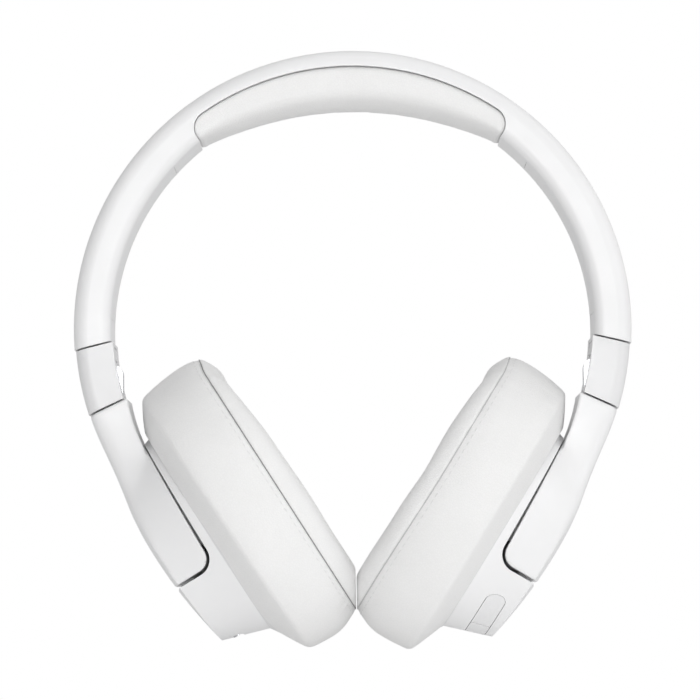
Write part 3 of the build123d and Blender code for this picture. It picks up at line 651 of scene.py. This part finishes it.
# ------------------------------------------------------------------ headband cushion
def build_band_cushion():
    """Padded underside of the band: round below, with square shoulders in the band's recess."""
    n_arc, n_sec = 150, 44
    half = math.radians(38.38)
    top_r, end_r, mid_z = 83.95, 76.8, 71.6
    corner, lower_corner, side_corner = 5.5, 1.6, 2.0
    # underside: circle through the two ends and the low middle
    end = np.array([end_r * math.sin(half), end_r * math.cos(half)])
    zc = (end @ end - mid_z ** 2) / (2 * (end[1] - mid_z))
    rad = abs(mid_z - zc)
    t = np.linspace(-1, 1, n_arc)
    t = np.sign(t) * (1 - (1 - np.abs(t)) ** 1.35)
    phi = t * half
    rows = []
    pins = []
    arc_to_end = (half - np.abs(phi)) * 80.0
    for p, left in zip(phi, arc_to_end):
        s, c = math.sin(p), math.cos(p)
        # radius where the ray meets the underside circle centred (0, zc)
        under = zc * c + math.copysign(math.sqrt(max(rad ** 2 - (zc * s) ** 2, 0)), 1)
        top = top_r
        if left < corner:
            top -= corner - math.sqrt(max(corner ** 2 - (corner - left) ** 2, 0))
        if left < lower_corner:
            fall = math.sqrt(max(lower_corner ** 2 - (lower_corner - left) ** 2, 0))
            under += (lower_corner - fall) * 0.9
        if top - under < 0.6:
            mid = (top + under) / 2
            top, under = mid + 0.3, mid - 0.3
        mid_r = (top + under) / 2
        half_t = (top - under) / 2
        half_w = 13.8
        if left < side_corner:
            half_w -= side_corner - math.sqrt(max(side_corner ** 2 - (side_corner - left) ** 2, 0))
        for k in range(n_sec):
            ang = 2 * math.pi * k / n_sec
            cy, cz = math.cos(ang), math.sin(ang)
            n = 8.0 if cz > 0 else 2.9
            y = math.copysign(abs(cy) ** (2 / n), cy) * half_w
            q = math.copysign(abs(cz) ** (2 / n), cz) * half_t
            r = mid_r + q
            rows.append((r * s * 0.001, -y * 0.001, BAND_Z + r * c * 0.001))
            pins.append(1.0 if (cz > 0.35 or left < 1.2) else max(0.0, min(1.0, (cz + 0.25) / 0.6)))
    faces = ring_faces(n_arc, n_sec, close_rows=False)
    faces.append(tuple(range(n_sec)))
    faces.append(tuple(range((n_arc - 1) * n_sec + n_sec - 1, (n_arc - 1) * n_sec - 1, -1)))
    obj = mesh_object("band_cushion", rows, faces)
    fix_normals(obj)
    puff(obj, pins, pressure=4.0, cap=0.0007, frames=20)
    return obj


band_cushion = build_band_cushion()
sub = band_cushion.modifiers.new("Subdivision", "SUBSURF")
sub.levels = 1
sub.render_levels = 1
apply_modifiers(band_cushion)
band_cushion.data.materials.append(M["white_leather"])
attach(band_cushion, "headband")
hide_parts("headband_cushion")


# ------------------------------------------------------------------ arms with the strap flowing into the paddle
def neighbour_mean(co, edges, count):
    total = np.zeros_like(co)
    np.add.at(total, edges[:, 0], co[edges[:, 1]])
    np.add.at(total, edges[:, 1], co[edges[:, 0]])
    return total / count[:, None]


def build_arm():
    """Skin over the CAD arm, smoothed where the strap flows into the paddle."""
    source = NODES["arm_shell_right"]
    obj = bpy.data.objects.new("arm_skin_right", source.data.copy())
    bpy.context.scene.collection.objects.link(obj)
    bm = bmesh.new()
    bm.from_mesh(obj.data)
    bmesh.ops.remove_doubles(bm, verts=bm.verts, dist=0.000005)
    bm.to_mesh(obj.data)
    bm.free()
    remesh = obj.modifiers.new("Remesh", "REMESH")
    remesh.mode = "VOXEL"
    remesh.voxel_size = 0.0005
    apply_modifiers(obj)
    co = coords(obj)
    edges = np.zeros(len(obj.data.edges) * 2, int)
    obj.data.edges.foreach_get("vertices", edges)
    edges = edges.reshape(-1, 2)
    count = np.bincount(edges.ravel(), minlength=len(co)).astype(float)
    rel = co - np.array([CUP.x, 0, CUP.z])
    a = rel @ np.array([UP.x, 0, UP.z]) * 1000
    d = rel @ np.array([OUT.x, 0, OUT.z]) * 1000
    z = co[:, 2] * 1000
    # distance outward of the paddle's inner edge; the skin is held there and free beyond it
    shelf = 28.7 + (33 - a) * 0.062
    free = ramp(d - shelf, 0.4, 3.5) * ramp(a, -8.0, -3.0) * ramp(78.3 - z, 0.2, 3.0)
    blend_zone = ramp(z, 30, 42) * (1 - ramp(z, 68, 76)) * ramp(np.abs(co[:, 1]) * 1000, 5, 10)
    light = 0.12 + 0.88 * free
    for step in range(90):
        weight = light * 0.5 if step < 7 else free * blend_zone * 0.5
        co = co + (neighbour_mean(co, edges, count) - co) * weight[:, None]
    set_coords(obj, co)
    obj.data.shade_smooth()
    obj.data.materials.clear()
    obj.data.materials.append(M["white_shell"])
    return obj


arm_r = build_arm()
arm_l = mirrored(arm_r, "arm_skin_left")
for side, arm in (("right", arm_r), ("left", arm_l)):
    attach(arm, "arm_" + side)
    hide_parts("arm_shell_" + side)


# ------------------------------------------------------------------ stage, lights, camera
PAPER_GLOW = 0.35


def backdrop():
    """Seamless paper: a floor that curves up into a wall."""
    width, back, front, radius = 3.0, 2.0, -1.6, 0.8
    line = [(front, 0.0), (back - radius, 0.0)]
    for i in range(1, 13):
        ang = math.pi / 2 * i / 12
        line.append((back - radius + radius * math.sin(ang), radius - radius * math.cos(ang)))
    line.append((back, 2.6))
    verts, faces = [], []
    for y, z in line:
        verts.append((-width, y, z - 0.0025))
        verts.append((width, y, z - 0.0025))
    for i in range(len(line) - 1):
        faces.append((2 * i, 2 * i + 1, 2 * i + 3, 2 * i + 2))
    obj = mesh_object("backdrop", verts, faces)
    mat, tree, bsdf = new_material("pale_paper")
    bsdf.inputs["Base Color"].default_value = (0.86, 0.86, 0.86, 1)
    bsdf.inputs["Roughness"].default_value = 0.9
    bsdf.inputs["Specular IOR Level"].default_value = 0.1
    glow = add_node(tree, "ShaderNodeEmission", Strength=1.0)
    glow.inputs["Color"].default_value = (1, 1, 1, 1)
    path = add_node(tree, "ShaderNodeLightPath")
    mix = add_node(tree, "ShaderNodeMixShader")
    # all glow to the camera, a part of it to the light that bounces up onto the object
    share = multiply_add(tree, path.outputs["Is Camera Ray"], 1 - PAPER_GLOW, PAPER_GLOW)
    tree.links.new(share, mix.inputs[0])
    tree.links.new(bsdf.outputs[0], mix.inputs[1])
    tree.links.new(glow.outputs[0], mix.inputs[2])
    tree.links.new(mix.outputs[0], tree.nodes["Material Output"].inputs["Surface"])
    obj.data.materials.append(mat)


backdrop()


def area_light(name, where, aim, size, power, color=(1, 1, 1)):
    data = bpy.data.lights.new(name, "AREA")
    data.shape = "RECTANGLE"
    data.size, data.size_y = size
    data.energy = power
    data.color = color
    obj = bpy.data.objects.new(name, data)
    bpy.context.scene.collection.objects.link(obj)
    obj.location = where
    obj.rotation_mode = "QUATERNION"
    obj.rotation_quaternion = (Vector(aim) - Vector(where)).to_track_quat("-Z", "Y")
    return obj


AIM = (0, 0, 0.09)
area_light("key", (2.2, -1.5, 0.9), AIM, (1.6, 2.0), 11.0)
area_light("front_fill", (0.02, -1.6, 0.0), (0, 0, 0.07), (1.0, 0.7), 17.8)
area_light("top", (0.1, -0.1, 1.1), AIM, (0.9, 0.9), 1.6)

world = bpy.data.worlds.new("studio") if not bpy.context.scene.world else bpy.context.scene.world
bpy.context.scene.world = world
world.use_nodes = True
background = world.node_tree.nodes["Background"]
background.inputs["Color"].default_value = (1, 1, 1, 1)
sky = add_node(world.node_tree, "ShaderNodeTexCoord")
parts = add_node(world.node_tree, "ShaderNodeSeparateXYZ")
world.node_tree.links.new(sky.outputs["Generated"], parts.inputs[0])
# the room is darker on the left
shade = multiply_add(world.node_tree, parts.outputs["X"], 0.20, 0.47)
world.node_tree.links.new(shade, background.inputs["Strength"])

scene = bpy.context.scene
scene.view_settings.view_transform = "Standard"
scene.view_settings.look = "None"
scene.view_settings.exposure = 0.0

cam_data = bpy.data.cameras.new("camera")
cam = bpy.data.objects.new("camera", cam_data)
scene.collection.objects.link(cam)
scene.camera = cam
CAM_DIST = 1.25
FIELD = 0.2251  # width of the picture at the object
CAM_ROLL = -0.8  # degrees
eye = Vector((0.0, -CAM_DIST, 0.0095))
target = Vector((-0.00096, 0, 0.09475))
direction = (target - eye).normalized()
cam_data.sensor_width = 36
cam_data.lens = 36 * (target - eye).length / FIELD
cam.location = eye
cam.rotation_mode = "QUATERNION"
turn = direction.to_track_quat("-Z", "Y").to_matrix() @ Matrix.Rotation(math.radians(CAM_ROLL), 3, "Z")
cam.rotation_quaternion = turn.to_quaternion()
cam_data.clip_start = 0.02
cam_data.clip_end = 20
